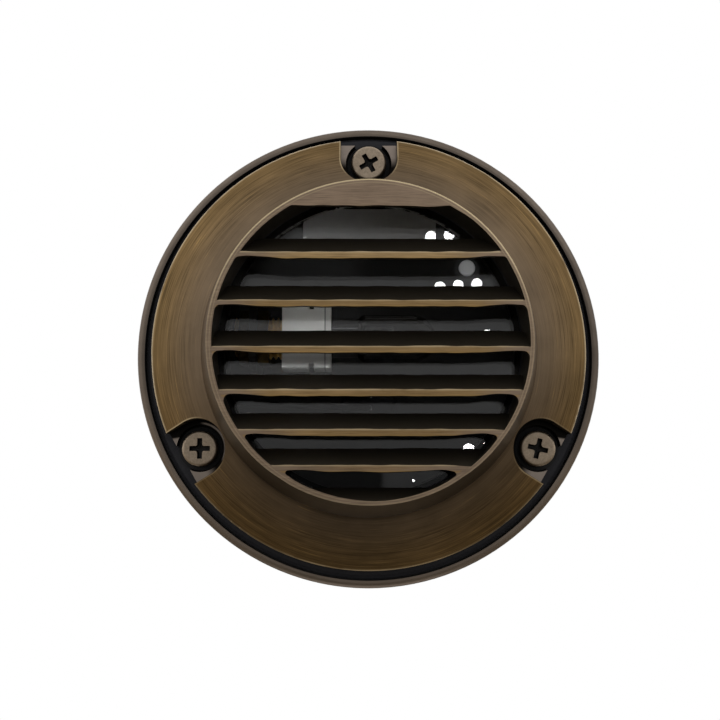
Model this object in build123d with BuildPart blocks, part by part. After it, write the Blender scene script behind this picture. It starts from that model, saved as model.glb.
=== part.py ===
"""Round surface-mount deck light with a louvred brass cover.

Millimetres. The wall is the plane Y = 0 and the light faces -Y, with +Z up.
The origin is the centre of the back face. "Depth" below always means the
distance from the wall, measured along -Y.
"""
import os
from math import cos, pi, radians, sin

from build123d import *

# Rings of the face, from the crest of the louvred boss out to the rim
crest_radius = 28.5
boss_draft_run = 2.8
pocket_land = 0.25
pocket_radius = 5.45
screw_edge = 4.3
rim_gap = 2.15
rim_wall = 1.55

# Depths, from the wall to the louvred front
base_depth = 11.0
back_wall = 3.0
gasket_thickness = 2.0
edge_height = 5.1
bevel_rise = 4.4
boss_rise = 11.8

# Louvres: the spacing closes up by a fixed step from slot to slot
louvre_count = 6
top_plate_height = 4.5
pitch_step = 0.66
bar_height = 1.15
blade_depth = 5.0
blade_rise = 3.0
grille_wall = 0.7
grille_thickness = 1.4
slot_corner = 0.9
end_slot_corner = 0.4

# Rounded edges of the castings
rim_round = 1.1
cover_edge_round = 0.6
boss_foot_round = 4.0
crest_round = 0.35
back_edge_chamfer = 0.6
cavity_round = 1.5

# Cover gasket, a flat ring with a thin outer lip
gasket_step_gap = 1.0
gasket_lip = 0.8
gasket_rim_clearance = 0.3
gasket_inner_land = 1.0

# Lens stack in the back of the cover
lens_setback = 8.9
lens_thickness = 3.0
lens_seat = 1.5
lens_clearance = 0.2
lens_chamfer = 0.4
lens_gasket_thickness = 0.6
retainer_thickness = 1.4
retainer_groove = 1.0
retainer_band = 2.4
retainer_gap = 6.0
retainer_lug_radius = 1.6
retainer_lug_hole = 0.7

# Cover screws and their pockets
screw_count = 3
screw_start_angle = 90.0
screw_names = ("top", "left", "right")
screw_cross_turns = (30.0, 0.0, 13.0)
pocket_floor = 3.0
pocket_chord_trim = 0.7
clamp_thickness = 1.0
counterbore_radius = 4.45
washer_thickness = 0.5
washer_gap = 0.3
head_radius = 3.4
head_height = 2.0
head_round = 0.5
shank_radius = 1.75
shank_clearance = 0.35
thread_clearance = 0.07
thread_engagement = 5.3
thread_runout = 0.6
cross_length = 3.9
cross_width = 0.95
cross_depth = 1.3
cross_taper = 8.0
boss_wall = 3.4

# Screw holes to the wall, wire entry and vent
mount_pcd = 54.0
mount_hole_radius = 1.6
mount_angle = 27.9
entry_radius = 4.0
entry_drop = 9.0
grommet_flange = 1.5
grommet_flange_thickness = 1.2
vent_x = 20.0
vent_z = 18.2
vent_radius = 1.65
vent_height = 0.7
vent_round = 0.3
vent_stem = 1.1
fit_clearance = 0.05

# Lamp holder: everything lies on one axis parallel to X
holder_axis_depth = 13.0
holder_axis_z = 2.5
socket_length = 9.2
socket_height = 12.2
socket_width = 8.0
socket_edge = 0.6
socket_notch = 1.0
socket_notch_setback = 3.2
nipple_radius = 4.0
nipple_bore = 2.6
nipple_reach = 9.0
nipple_seat = 1.5
nut_across_flats = 10.0
nut_thickness = 2.0
nut_setback = 2.6
bracket_thickness = 1.5
bracket_width = 14.0
bracket_foot = 14.0
bracket_bend = 2.0
bracket_head_room = 1.6
bracket_screw_setback = 4.5
bracket_screw_head = 2.75
bracket_screw_height = 1.8
bracket_screw_shank = 1.5
bracket_screw_bite = 2.2

# Lamp: a two-pin capsule
pin_spacing = 4.0
pin_radius = 0.375
pin_length = 6.2
pin_rise = 7.0
contact_clearance = 0.075
contact_wall = 0.4
contact_setback = 0.2
contact_floor = 0.4
lamp_radius = 4.6
lamp_length = 20.0
lamp_glass = 0.7
lamp_pinch_length = 5.0
lamp_pinch_width = 7.6
lamp_pinch_thickness = 3.0
pin_glass_clearance = 0.03
filament_radius = 0.55
filament_gap = 0.05

# Inner leads from the holder to the wire entry
lead_radius = 0.65
lead_spacing = 3.2
lead_exit_spacing = 2.4
lead_bend = 2.2
lead_run_depth = 6.2
lead_wall_margin = 1.65
lead_hole_clearance = 0.05

# Radii that follow from the rings
boss_foot = crest_radius + boss_draft_run
screw_circle = boss_foot + pocket_land + pocket_radius
cover_radius = screw_circle + screw_edge
rim_inner = cover_radius + rim_gap
rim_radius = rim_inner + rim_wall
cavity_radius = screw_circle - boss_wall
grille_radius = crest_radius - grille_wall
top_plate_edge = crest_radius - top_plate_height
mean_pitch = (top_plate_edge + crest_radius) / (louvre_count + 1)
first_pitch = mean_pitch + pitch_step * louvre_count / 2
lens_pocket_radius = grille_radius + lens_seat
lens_radius = lens_pocket_radius - lens_clearance
retainer_radius = lens_pocket_radius + retainer_groove
gasket_radius = rim_inner - gasket_step_gap
gasket_inner = cavity_radius + gasket_inner_land

# Depths that follow from the stack
ledge_depth = base_depth - gasket_thickness
bevel_edge_depth = base_depth + edge_height
bevel_foot_depth = bevel_edge_depth + bevel_rise
front_depth = bevel_foot_depth + boss_rise
lens_front_depth = front_depth - lens_setback
lens_shoulder_depth = lens_front_depth + lens_gasket_thickness
lens_back_depth = lens_front_depth - lens_thickness
retainer_back_depth = lens_back_depth - retainer_thickness
pocket_depth = base_depth + pocket_floor
counterbore_depth = base_depth + clamp_thickness
head_seat_depth = counterbore_depth + washer_thickness
screw_tip_depth = ledge_depth - thread_engagement
screw_hole_bottom = screw_tip_depth - thread_runout

# Stations along the lamp holder's axis, from the leads' turn beside the cover's wall
lead_turn_x = lead_wall_margin - lens_pocket_radius
nipple_outer_x = lead_turn_x + lead_bend + fit_clearance
socket_back_x = nipple_outer_x + nipple_reach
socket_mouth_x = socket_back_x + socket_length
nipple_inner_x = socket_back_x + nipple_seat
inner_nut_x = socket_back_x - nut_setback - nut_thickness
bracket_x = inner_nut_x - bracket_thickness
outer_nut_x = bracket_x - nut_thickness
contact_x = socket_mouth_x - contact_setback
contact_length = pin_length + contact_floor
contact_back_x = contact_x - contact_length

os.makedirs("parts", exist_ok=True)

# Profile plane for turned pieces: local X is the radius, local Y the depth
turning = Plane(origin=(0, 0, 0), x_dir=(1, 0, 0), z_dir=(0, 0, -1))


def face_at(depth):
    """Plane parallel to the wall at a depth, seen from the front."""
    return Plane.XZ.offset(depth)


def holder_at(x):
    """Plane across the lamp holder's axis: local X is depth, local Y is Z."""
    origin = (x, -holder_axis_depth, holder_axis_z)
    return Plane(origin=origin, x_dir=(0, -1, 0), z_dir=(-1, 0, 0))


def save(part, name):
    part.label = name
    export_step(part, f"parts/{name}.step")


# Base housing: a shallow turned cup with a ledge for the gasket
with BuildPart() as base_housing:
    with BuildSketch(turning) as base_profile:
        with BuildLine():
            Polyline(
                (0, 0),
                (rim_radius, 0),
                (rim_radius, base_depth),
                (rim_inner, base_depth),
                (rim_inner, ledge_depth),
                (cavity_radius, ledge_depth),
                (cavity_radius, back_wall),
                (0, back_wall),
                close=True,
            )
        make_face()
        corners = base_profile.vertices()
        fillet(corners.sort_by_distance((rim_radius, base_depth))[0], rim_round)
        fillet(corners.sort_by_distance((cavity_radius, back_wall))[0], cavity_round)
        chamfer(corners.sort_by_distance((rim_radius, 0))[0], back_edge_chamfer)
    revolve(axis=Axis.Y)
    with BuildSketch(face_at(ledge_depth)):
        with PolarLocations(screw_circle, screw_count, start_angle=screw_start_angle):
            Circle(shank_radius + thread_clearance)
    extrude(amount=screw_hole_bottom - ledge_depth, mode=Mode.SUBTRACT)
    with BuildSketch(face_at(0)):
        with PolarLocations(mount_pcd / 2, 2, start_angle=mount_angle):
            Circle(mount_hole_radius)
        with Locations((0, -entry_drop)):
            Circle(entry_radius)
        with Locations((vent_x, vent_z)):
            Circle(vent_stem + fit_clearance)
    extrude(amount=back_wall, mode=Mode.SUBTRACT)
    bracket_screw_x = bracket_x + bracket_foot - bracket_screw_setback
    with BuildSketch(face_at(back_wall)):
        with Locations((bracket_screw_x, holder_axis_z)):
            Circle(bracket_screw_shank + fit_clearance)
    extrude(amount=-bracket_screw_bite, mode=Mode.SUBTRACT)
save(base_housing.part, "base_housing")


# Cover gasket on the ledge, with a thin lip out to the rim
with BuildPart() as cover_gasket:
    with BuildSketch(turning):
        with BuildLine():
            Polyline(
                (gasket_inner, ledge_depth),
                (rim_inner - gasket_rim_clearance, ledge_depth),
                (rim_inner - gasket_rim_clearance, ledge_depth + gasket_lip),
                (gasket_radius, ledge_depth + gasket_lip),
                (gasket_radius, base_depth),
                (gasket_inner, base_depth),
                close=True,
            )
        make_face()
    revolve(axis=Axis.Y)
    with BuildSketch(face_at(ledge_depth)):
        with PolarLocations(screw_circle, screw_count, start_angle=screw_start_angle):
            Circle(shank_radius + shank_clearance)
    extrude(amount=gasket_thickness, mode=Mode.SUBTRACT)
save(cover_gasket.part, "cover_gasket")


# Height of each bar's lower edge, with the spacing closing up downwards
bar_edges = []
bar_edge = top_plate_edge
for slot in range(louvre_count):
    bar_edge -= first_pitch - slot * pitch_step
    bar_edges.append(bar_edge)

# Louvre grille: a thin plate with slots, and a slanted blade behind each bar
with BuildPart() as louvre_grille:
    with BuildSketch(face_at(front_depth)):
        Circle(grille_radius)
    extrude(amount=-grille_thickness)
    slot_tops = [top_plate_edge] + bar_edges
    slot_bottoms = [edge + bar_height for edge in bar_edges] + [-grille_radius]
    slot_corners = [slot_corner] * (louvre_count - 1) + [end_slot_corner] * 2
    for slot_top, slot_bottom, corner in zip(slot_tops, slot_bottoms, slot_corners):
        with BuildSketch(face_at(front_depth)) as slot_shape:
            Circle(grille_radius)
            with Locations((0, (slot_top + slot_bottom) / 2)):
                Rectangle(2 * grille_radius, slot_top - slot_bottom, mode=Mode.INTERSECT)
            fillet(slot_shape.vertices().group_by(Axis.Y)[-1], corner)
        extrude(amount=-grille_thickness, mode=Mode.SUBTRACT)
    for edge in bar_edges:
        with BuildSketch(Plane.YZ):
            with BuildLine():
                Polyline(
                    (-front_depth, edge),
                    (-front_depth, edge + bar_height),
                    (blade_depth - front_depth, edge + bar_height + blade_rise),
                    (blade_depth - front_depth, edge + blade_rise),
                    close=True,
                )
            make_face()
        extrude(amount=grille_radius, both=True)
    with BuildSketch(face_at(front_depth)):
        Circle(grille_radius)
    extrude(amount=-blade_depth, mode=Mode.INTERSECT)

# Louvred cover: bevelled flange, drafted boss, grille and three screw pockets
with BuildPart() as louver_cover:
    with BuildSketch(turning) as cover_profile:
        with BuildLine():
            Polyline(
                (lens_pocket_radius, base_depth),
                (cover_radius, base_depth),
                (cover_radius, bevel_edge_depth),
                (boss_foot, bevel_foot_depth),
                (crest_radius, front_depth),
                (grille_radius, front_depth),
                (grille_radius, lens_shoulder_depth),
                (lens_pocket_radius, lens_shoulder_depth),
                (lens_pocket_radius, lens_back_depth),
                (retainer_radius, lens_back_depth),
                (retainer_radius, retainer_back_depth),
                (lens_pocket_radius, retainer_back_depth),
                close=True,
            )
        make_face()
        corners = cover_profile.vertices()
        fillet(corners.sort_by_distance((cover_radius, bevel_edge_depth))[0], cover_edge_round)
        fillet(corners.sort_by_distance((boss_foot, bevel_foot_depth))[0], boss_foot_round)
        fillet(corners.sort_by_distance((crest_radius, front_depth))[0], crest_round)
    revolve(axis=Axis.Y)
    add(louvre_grille.part)
    for index in range(screw_count):
        pocket_angle = screw_start_angle + index * 360 / screw_count
        outward = (cos(radians(pocket_angle)), 0, sin(radians(pocket_angle)))
        pocket_plane = Plane(origin=(0, -pocket_depth, 0), x_dir=outward, z_dir=(0, -1, 0))
        pocket_reach = cover_radius - screw_circle + cover_edge_round
        with BuildSketch(pocket_plane):
            with Locations((screw_circle, 0)):
                Circle(pocket_radius)
            with Locations((screw_circle + pocket_reach / 2, 0)):
                Rectangle(pocket_reach, 2 * pocket_radius)
        extrude(amount=front_depth - pocket_depth, mode=Mode.SUBTRACT)
        with BuildSketch(pocket_plane):
            with Locations((cover_radius - pocket_chord_trim, 0)):
                Rectangle(cover_radius, 2 * pocket_radius, align=(Align.MIN, Align.CENTER))
        extrude(amount=base_depth - pocket_depth, mode=Mode.SUBTRACT)
    with BuildSketch(face_at(counterbore_depth)):
        with PolarLocations(screw_circle, screw_count, start_angle=screw_start_angle):
            Circle(counterbore_radius)
    extrude(amount=pocket_depth - counterbore_depth, mode=Mode.SUBTRACT)
    with BuildSketch(face_at(base_depth)):
        with PolarLocations(screw_circle, screw_count, start_angle=screw_start_angle):
            Circle(shank_radius + shank_clearance)
    extrude(amount=clamp_thickness, mode=Mode.SUBTRACT)
save(louver_cover.part, "louver_cover")


# Lens gasket between the cover's shoulder and the glass
with BuildPart() as lens_gasket:
    with BuildSketch(face_at(lens_front_depth)):
        Circle(lens_radius)
        Circle(grille_radius, mode=Mode.SUBTRACT)
    extrude(amount=lens_gasket_thickness)
save(lens_gasket.part, "lens_gasket")


# Flat glass lens with ground edges
with BuildPart() as lens:
    with BuildSketch(face_at(lens_back_depth)):
        Circle(lens_radius)
    extrude(amount=lens_thickness)
    chamfer(lens.edges().filter_by(GeomType.CIRCLE), lens_chamfer)
save(lens.part, "lens")


# Spring ring that holds the lens, open at the top between two eyes
with BuildPart() as lens_retaining_ring:
    ring_outer = retainer_radius - lens_clearance
    ring_inner = retainer_radius - retainer_groove - retainer_band
    lug_circle = ring_outer - retainer_lug_radius
    lug_turn = (retainer_gap / 2 + retainer_lug_radius) / lug_circle * 180 / pi
    with BuildSketch(face_at(retainer_back_depth)):
        Circle(ring_outer)
        Circle(ring_inner, mode=Mode.SUBTRACT)
        with PolarLocations(lug_circle, 2, start_angle=90 + lug_turn, angular_range=-4 * lug_turn):
            Circle(retainer_lug_radius)
        with Locations((0, ring_outer)):
            Rectangle(retainer_gap, ring_outer, mode=Mode.SUBTRACT)
        with PolarLocations(lug_circle, 2, start_angle=90 + lug_turn, angular_range=-4 * lug_turn):
            Circle(retainer_lug_hole, mode=Mode.SUBTRACT)
    extrude(amount=retainer_thickness)
save(lens_retaining_ring.part, "lens_retaining_ring")


# Cover screws with cross recesses, each on a black sealing washer
for index, screw_name in enumerate(screw_names):
    screw_angle = radians(screw_start_angle + index * 360 / screw_count)
    cross_turn = radians(screw_cross_turns[index])
    screw_plane = Plane(
        origin=(screw_circle * cos(screw_angle), 0, screw_circle * sin(screw_angle)),
        x_dir=(cos(cross_turn), 0, sin(cross_turn)),
        z_dir=(0, -1, 0),
    )

    with BuildPart() as screw_washer:
        with BuildSketch(screw_plane.offset(counterbore_depth)):
            Circle(counterbore_radius - washer_gap)
            Circle(shank_radius + washer_gap, mode=Mode.SUBTRACT)
        extrude(amount=washer_thickness)
    save(screw_washer.part, f"screw_washer_{screw_name}")

    with BuildPart() as cover_screw:
        with BuildSketch(screw_plane.offset(head_seat_depth)):
            Circle(head_radius)
        extrude(amount=head_height)
        fillet(cover_screw.edges().sort_by(Axis.Y)[0], head_round)
        with BuildSketch(screw_plane.offset(head_seat_depth)):
            Circle(shank_radius)
        extrude(amount=screw_tip_depth - head_seat_depth)
        with BuildSketch(screw_plane.offset(head_seat_depth + head_height)):
            Rectangle(cross_length, cross_width)
            Rectangle(cross_width, cross_length)
        extrude(amount=-cross_depth, taper=cross_taper, mode=Mode.SUBTRACT)
    save(cover_screw.part, f"cover_screw_{screw_name}")


# Bracket: an L of sheet metal, its foot on the back wall
with BuildPart() as socket_bracket:
    bracket_top = holder_axis_depth + nipple_radius + bracket_head_room
    with BuildSketch(Plane.XY.offset(holder_axis_z)) as bracket_profile:
        with BuildLine():
            Polyline(
                (bracket_x, -back_wall),
                (bracket_x + bracket_foot, -back_wall),
                (bracket_x + bracket_foot, -back_wall - bracket_thickness),
                (bracket_x + bracket_thickness, -back_wall - bracket_thickness),
                (bracket_x + bracket_thickness, -bracket_top),
                (bracket_x, -bracket_top),
                close=True,
            )
        make_face()
        fillet(bracket_profile.vertices().sort_by_distance((bracket_x, -back_wall))[0], bracket_bend)
    extrude(amount=bracket_width / 2, both=True)
    fillet(socket_bracket.edges().filter_by(Axis.X).group_by(Axis.Y)[0], bracket_width / 4)
    with BuildSketch(holder_at(bracket_x)):
        Circle(nipple_radius + fit_clearance)
    extrude(amount=-bracket_thickness, mode=Mode.SUBTRACT)
    with BuildSketch(face_at(back_wall)):
        with Locations((bracket_screw_x, holder_axis_z)):
            Circle(bracket_screw_shank + fit_clearance)
    extrude(amount=bracket_thickness, mode=Mode.SUBTRACT)
save(socket_bracket.part, "socket_bracket")


# Short screw that fixes the bracket's foot
with BuildPart() as bracket_screw:
    with BuildSketch(face_at(back_wall + bracket_thickness)):
        with Locations((bracket_screw_x, holder_axis_z)):
            Circle(bracket_screw_head)
    extrude(amount=bracket_screw_height)
    fillet(bracket_screw.edges().sort_by(Axis.Y)[0], bracket_screw_height / 2)
    with BuildSketch(face_at(back_wall + bracket_thickness)):
        with Locations((bracket_screw_x, holder_axis_z)):
            Circle(bracket_screw_shank)
    extrude(amount=-bracket_thickness - bracket_screw_bite + fit_clearance)
    with BuildSketch(face_at(back_wall + bracket_thickness + bracket_screw_height)):
        with Locations((bracket_screw_x, holder_axis_z)):
            Rectangle(2 * bracket_screw_shank, cross_width)
            Rectangle(cross_width, 2 * bracket_screw_shank)
    extrude(amount=-bracket_screw_height / 2, taper=cross_taper, mode=Mode.SUBTRACT)
save(bracket_screw.part, "bracket_screw")


# Hollow nipple that carries the socket, clamped to the bracket by two nuts
with BuildPart() as socket_nipple:
    with BuildSketch(holder_at(nipple_inner_x)):
        Circle(nipple_radius)
        Circle(nipple_bore, mode=Mode.SUBTRACT)
    extrude(amount=nipple_inner_x - nipple_outer_x)
save(socket_nipple.part, "socket_nipple")

for nut_name, nut_x in (("inner", inner_nut_x), ("outer", outer_nut_x)):
    with BuildPart() as nipple_nut:
        with BuildSketch(holder_at(nut_x + nut_thickness)):
            RegularPolygon(nut_across_flats / 2, 6, major_radius=False)
            Circle(nipple_radius + fit_clearance, mode=Mode.SUBTRACT)
        extrude(amount=nut_thickness)
    save(nipple_nut.part, f"nipple_nut_{nut_name}")


# Ceramic socket block: seat for the nipple, two contact holes, clip notches
contact_radius = pin_radius + contact_clearance + contact_wall
with BuildPart() as lamp_socket:
    with BuildSketch(holder_at(socket_mouth_x)):
        RectangleRounded(socket_width, socket_height, socket_edge)
    extrude(amount=socket_length)
    with BuildSketch(holder_at(nipple_inner_x)):
        Circle(nipple_radius + fit_clearance)
    extrude(amount=nipple_seat, mode=Mode.SUBTRACT)
    with BuildSketch(holder_at(contact_back_x)):
        Circle(nipple_bore)
    extrude(amount=contact_back_x - nipple_inner_x, mode=Mode.SUBTRACT)
    with BuildSketch(holder_at(socket_mouth_x)):
        with GridLocations(0, pin_spacing, 1, 2):
            Circle(contact_radius + fit_clearance)
    extrude(amount=socket_mouth_x - contact_back_x, mode=Mode.SUBTRACT)
    with BuildSketch(holder_at(socket_mouth_x - socket_notch_setback)):
        with GridLocations(0, socket_height, 1, 2):
            Rectangle(socket_width, 2 * socket_notch)
    extrude(amount=socket_notch, mode=Mode.SUBTRACT)
save(lamp_socket.part, "lamp_socket")


# Two sleeve contacts inside the socket
with BuildPart() as socket_contacts:
    with BuildSketch(holder_at(contact_x)):
        with GridLocations(0, pin_spacing, 1, 2):
            Circle(contact_radius)
    extrude(amount=contact_length)
    with BuildSketch(holder_at(contact_x)):
        with GridLocations(0, pin_spacing, 1, 2):
            Circle(pin_radius + contact_clearance)
    extrude(amount=pin_length, mode=Mode.SUBTRACT)
save(socket_contacts.part, "socket_contacts")


# Capsule lamp: glass envelope on a flat pinch, with a sealed hollow inside
lamp_base_x = socket_mouth_x + contact_clearance
lamp_shoulder = lamp_pinch_length
with BuildPart() as lamp_capsule:
    with BuildSketch(Plane.XY) as lamp_profile:
        with BuildLine():
            l1 = Line((lamp_shoulder, 0), (lamp_shoulder, lamp_radius))
            l2 = Line(l1 @ 1, (lamp_length - lamp_radius, lamp_radius))
            RadiusArc(l2 @ 1, (lamp_length, 0), lamp_radius)
            Line((lamp_length, 0), (lamp_shoulder, 0))
        make_face()
        fillet(lamp_profile.vertices().sort_by_distance((lamp_shoulder, lamp_radius))[0], lamp_radius / 3)
    revolve(axis=Axis.X)
    with BuildSketch(Plane.YZ):
        RectangleRounded(lamp_pinch_thickness, lamp_pinch_width, lamp_pinch_thickness / 3)
    extrude(amount=lamp_shoulder + lamp_radius / 2)
    with BuildSketch(Plane.XY) as hollow_profile:
        hollow_radius = lamp_radius - lamp_glass
        hollow_start = lamp_shoulder + 2 * lamp_glass
        with BuildLine():
            l3 = Line((hollow_start, 0), (hollow_start, hollow_radius))
            l4 = Line(l3 @ 1, (lamp_length - lamp_radius, hollow_radius))
            RadiusArc(l4 @ 1, (lamp_length - lamp_glass, 0), hollow_radius)
            Line((lamp_length - lamp_glass, 0), (hollow_start, 0))
        make_face()
    revolve(axis=Axis.X, mode=Mode.SUBTRACT)
    with BuildSketch(Plane.YZ):
        with GridLocations(0, pin_spacing, 1, 2):
            Circle(pin_radius + pin_glass_clearance)
    extrude(amount=hollow_start + lamp_glass, mode=Mode.SUBTRACT)
lamp_place = Location((lamp_base_x, -holder_axis_depth, holder_axis_z))
lamp_capsule.part.locate(lamp_place)
save(lamp_capsule.part, "lamp_capsule")


# Lamp pins, from the socket's contacts up into the capsule
lamp_pin_top = lamp_base_x + lamp_pinch_length + pin_rise
with BuildPart() as lamp_pins:
    with BuildSketch(holder_at(lamp_pin_top)):
        with GridLocations(0, pin_spacing, 1, 2):
            Circle(pin_radius)
    extrude(amount=lamp_pin_top - lamp_base_x + pin_length - 2 * contact_clearance - contact_setback)
save(lamp_pins.part, "lamp_pins")


# Filament coil held between the pins, as the cylinder that it fills
with BuildPart() as lamp_filament:
    filament_length = pin_spacing - 2 * pin_radius - 2 * filament_gap
    filament_origin = (lamp_pin_top - filament_radius, -holder_axis_depth, holder_axis_z)
    with BuildSketch(Plane(origin=filament_origin, x_dir=(1, 0, 0), z_dir=(0, 0, 1))):
        Circle(filament_radius)
    extrude(amount=filament_length / 2, both=True)
save(lamp_filament.part, "lamp_filament")


# Rubber grommet in the wire entry, with one hole for each lead
with BuildPart() as wire_grommet:
    with BuildSketch(face_at(0)):
        with Locations((0, -entry_drop)):
            Circle(entry_radius - fit_clearance)
    extrude(amount=back_wall)
    with BuildSketch(face_at(back_wall)):
        with Locations((0, -entry_drop)):
            Circle(entry_radius + grommet_flange)
    extrude(amount=grommet_flange_thickness)
    fillet(wire_grommet.edges().sort_by(Axis.Y)[0], grommet_flange_thickness / 2)
    with BuildSketch(face_at(0)):
        with Locations((0, -entry_drop)):
            with GridLocations(0, lead_exit_spacing, 1, 2):
                Circle(lead_radius + lead_hole_clearance)
    extrude(amount=back_wall + grommet_flange_thickness, mode=Mode.SUBTRACT)
save(wire_grommet.part, "wire_grommet")


# Vent plug: a small cap on the back wall, its stem through to the wall side
with BuildPart() as vent_plug:
    with BuildSketch(face_at(back_wall)):
        with Locations((vent_x, vent_z)):
            Circle(vent_radius)
    extrude(amount=vent_height)
    fillet(vent_plug.edges().sort_by(Axis.Y)[0], vent_round)
    with BuildSketch(face_at(back_wall)):
        with Locations((vent_x, vent_z)):
            Circle(vent_stem)
    extrude(amount=-back_wall)
save(vent_plug.part, "vent_plug")


# Inner leads: out of the nipple, down past the bracket and into the grommet
lead_low_z = holder_axis_z - bracket_width / 2 - lead_spacing
lead_bend_x = -3 * lead_bend
for lead_name, side in (("a", 1), ("b", -1)):
    start_z = holder_axis_z + side * lead_spacing / 2
    low_z = lead_low_z + side * lead_spacing / 2
    exit_z = -entry_drop + side * lead_exit_spacing / 2
    with BuildPart() as lead_wire:
        with BuildLine() as lead_path:
            FilletPolyline(
                (contact_back_x, -holder_axis_depth, start_z),
                (lead_turn_x, -holder_axis_depth, start_z),
                (lead_turn_x, -lead_run_depth, low_z),
                (lead_bend_x, -lead_run_depth, exit_z),
                (0, -lead_run_depth, exit_z),
                (0, 0, exit_z),
                radius=lead_bend,
            )
        with BuildSketch(Plane(origin=lead_path.line @ 0, z_dir=lead_path.line % 0)):
            Circle(lead_radius)
        sweep(path=lead_path.line)
    save(lead_wire.part, f"lead_wire_{lead_name}")
    swept = lead_wire.part.volume / (pi * lead_radius**2)
    path_length = lead_path.wire().length
    print(f"lead_wire_{lead_name}: path {path_length:.2f} mm, swept {swept:.2f} mm")

print(f"rim diameter {2 * rim_radius:.1f} mm, overall depth {front_depth:.1f} mm")
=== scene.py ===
import math

import bmesh
import bpy
from mathutils import Matrix, Vector, noise


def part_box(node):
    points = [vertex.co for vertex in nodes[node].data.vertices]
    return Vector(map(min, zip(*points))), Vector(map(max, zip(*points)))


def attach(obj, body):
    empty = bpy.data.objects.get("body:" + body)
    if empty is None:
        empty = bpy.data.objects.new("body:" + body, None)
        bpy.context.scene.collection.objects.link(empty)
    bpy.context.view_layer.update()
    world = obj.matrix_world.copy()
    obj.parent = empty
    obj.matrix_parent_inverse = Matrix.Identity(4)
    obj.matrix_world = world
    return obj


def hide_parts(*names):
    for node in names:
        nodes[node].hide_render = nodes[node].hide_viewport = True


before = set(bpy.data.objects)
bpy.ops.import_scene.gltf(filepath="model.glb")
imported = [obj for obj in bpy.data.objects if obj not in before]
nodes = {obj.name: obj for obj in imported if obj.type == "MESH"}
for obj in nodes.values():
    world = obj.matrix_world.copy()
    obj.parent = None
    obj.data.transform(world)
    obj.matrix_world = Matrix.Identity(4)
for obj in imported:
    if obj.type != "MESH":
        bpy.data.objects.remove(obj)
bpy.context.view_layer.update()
mm = 0.001
snap = {"merge": 0.001, "thread": 0.002, "end": 0.01}  # millimetres
screwNames = ("top", "left", "right")
print("frame loaded:", len(nodes), "nodes")


class Val:
    # one socket, so that shader maths reads as plain Python
    def __init__(self, finish, socket):
        self.finish = finish
        self.socket = socket

    def calc(self, operation, *values):
        return self.finish.node("ShaderNodeMath", {"operation": operation}, dict(enumerate(values)))

    def __add__(self, other):
        return self.calc("ADD", self, other)

    def __radd__(self, other):
        return self.calc("ADD", other, self)

    def __sub__(self, other):
        return self.calc("SUBTRACT", self, other)

    def __rsub__(self, other):
        return self.calc("SUBTRACT", other, self)

    def __mul__(self, other):
        return self.calc("MULTIPLY", self, other)

    def __rmul__(self, other):
        return self.calc("MULTIPLY", other, self)

    def __truediv__(self, other):
        return self.calc("DIVIDE", self, other)

    def __rtruediv__(self, other):
        return self.calc("DIVIDE", other, self)

    def __pow__(self, other):
        return self.calc("POWER", self, other)

    def size(self):
        return self.calc("ABSOLUTE", self)

    def least(self, other):
        return self.calc("MINIMUM", self, other)

    def most(self, other):
        return self.calc("MAXIMUM", self, other)

    def rise(self, low, high):  # smooth step, 0 at low and 1 at high
        return self.finish.node(
            "ShaderNodeMapRange", {"interpolation_type": "SMOOTHSTEP"},
            {"Value": self, "From Min": low, "From Max": high})

    def near(self, centre, reach):  # 1 at the centre, falling to 0 at the reach on both sides
        return (self - centre).size().rise(reach, 0.0)

    def other(self, name):  # another output of the same node
        return Val(self.finish, self.socket.node.outputs[name])


class Nodes:
    # any node tree: node() adds a node, sets it up and gives back one of its outputs
    def __init__(self, tree):
        self.tree = tree
        self.tree.nodes.clear()

    def node(self, kind, settings=None, inputs=None, out=0):
        made = self.tree.nodes.new(kind)
        for name, value in (settings or {}).items():
            setattr(made, name, value)
        for key, value in (inputs or {}).items():
            if isinstance(value, Val):
                self.tree.links.new(value.socket, made.inputs[key])
            else:
                made.inputs[key].default_value = value
        return Val(self, made.outputs[out]) if made.outputs else None


class Finish(Nodes):
    # a material under construction; x, depth, z and radius are the place on the light in millimetres
    def __init__(self, name):
        self.material = bpy.data.materials.new(name)
        self.material.use_nodes = True
        super().__init__(self.material.node_tree)
        spot = self.node("ShaderNodeTexCoord", out="Object")
        self.spot = self.node("ShaderNodeVectorMath", {"operation": "SCALE"}, {0: spot, "Scale": 1 / mm})
        self.x = self.node("ShaderNodeSeparateXYZ", inputs={0: self.spot}, out="X")
        self.z = self.x.other("Z")
        self.depth = self.x.other("Y") * -1
        self.radius = (self.x * self.x + self.z * self.z) ** 0.5

    def vector(self, x, y, z):
        return self.node("ShaderNodeCombineXYZ", inputs={0: x, 1: y, 2: z})

    def noise(self, vector, scale, detail=2.0, rough=0.5):
        return self.node("ShaderNodeTexNoise", inputs={
            "Vector": vector, "Scale": scale, "Detail": detail, "Roughness": rough})

    def mix(self, factor, first, second, blend="MIX"):
        return self.node("ShaderNodeMix", {"data_type": "RGBA", "blend_type": blend},
                         {0: factor, 6: first, 7: second}, out=2)

    def shade(self, colour, level):  # a colour made lighter or darker by a value round 1
        return self.mix(1.0, colour, self.vector(level, level, level), "MULTIPLY")

    def bump(self, height, distance, strength=1.0):
        return self.node("ShaderNodeBump", inputs={
            "Height": height, "Distance": distance * mm, "Strength": strength})

    def surface(self, sockets):
        return self.node("ShaderNodeBsdfPrincipled", inputs=sockets)

    def close(self, shader):
        self.node("ShaderNodeOutputMaterial", inputs={"Surface": shader})
        return self.material


def rgb(red, green, blue):
    return (red, green, blue, 1.0)


def either(first, second):  # the larger of two masks, where there may be no first one yet
    return first.most(second) if first else second


def dress(material, *names):  # a better material on CAD nodes whose shape is right
    for name in names:
        nodes[name].data.materials.clear()
        nodes[name].data.materials.append(material)


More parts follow.
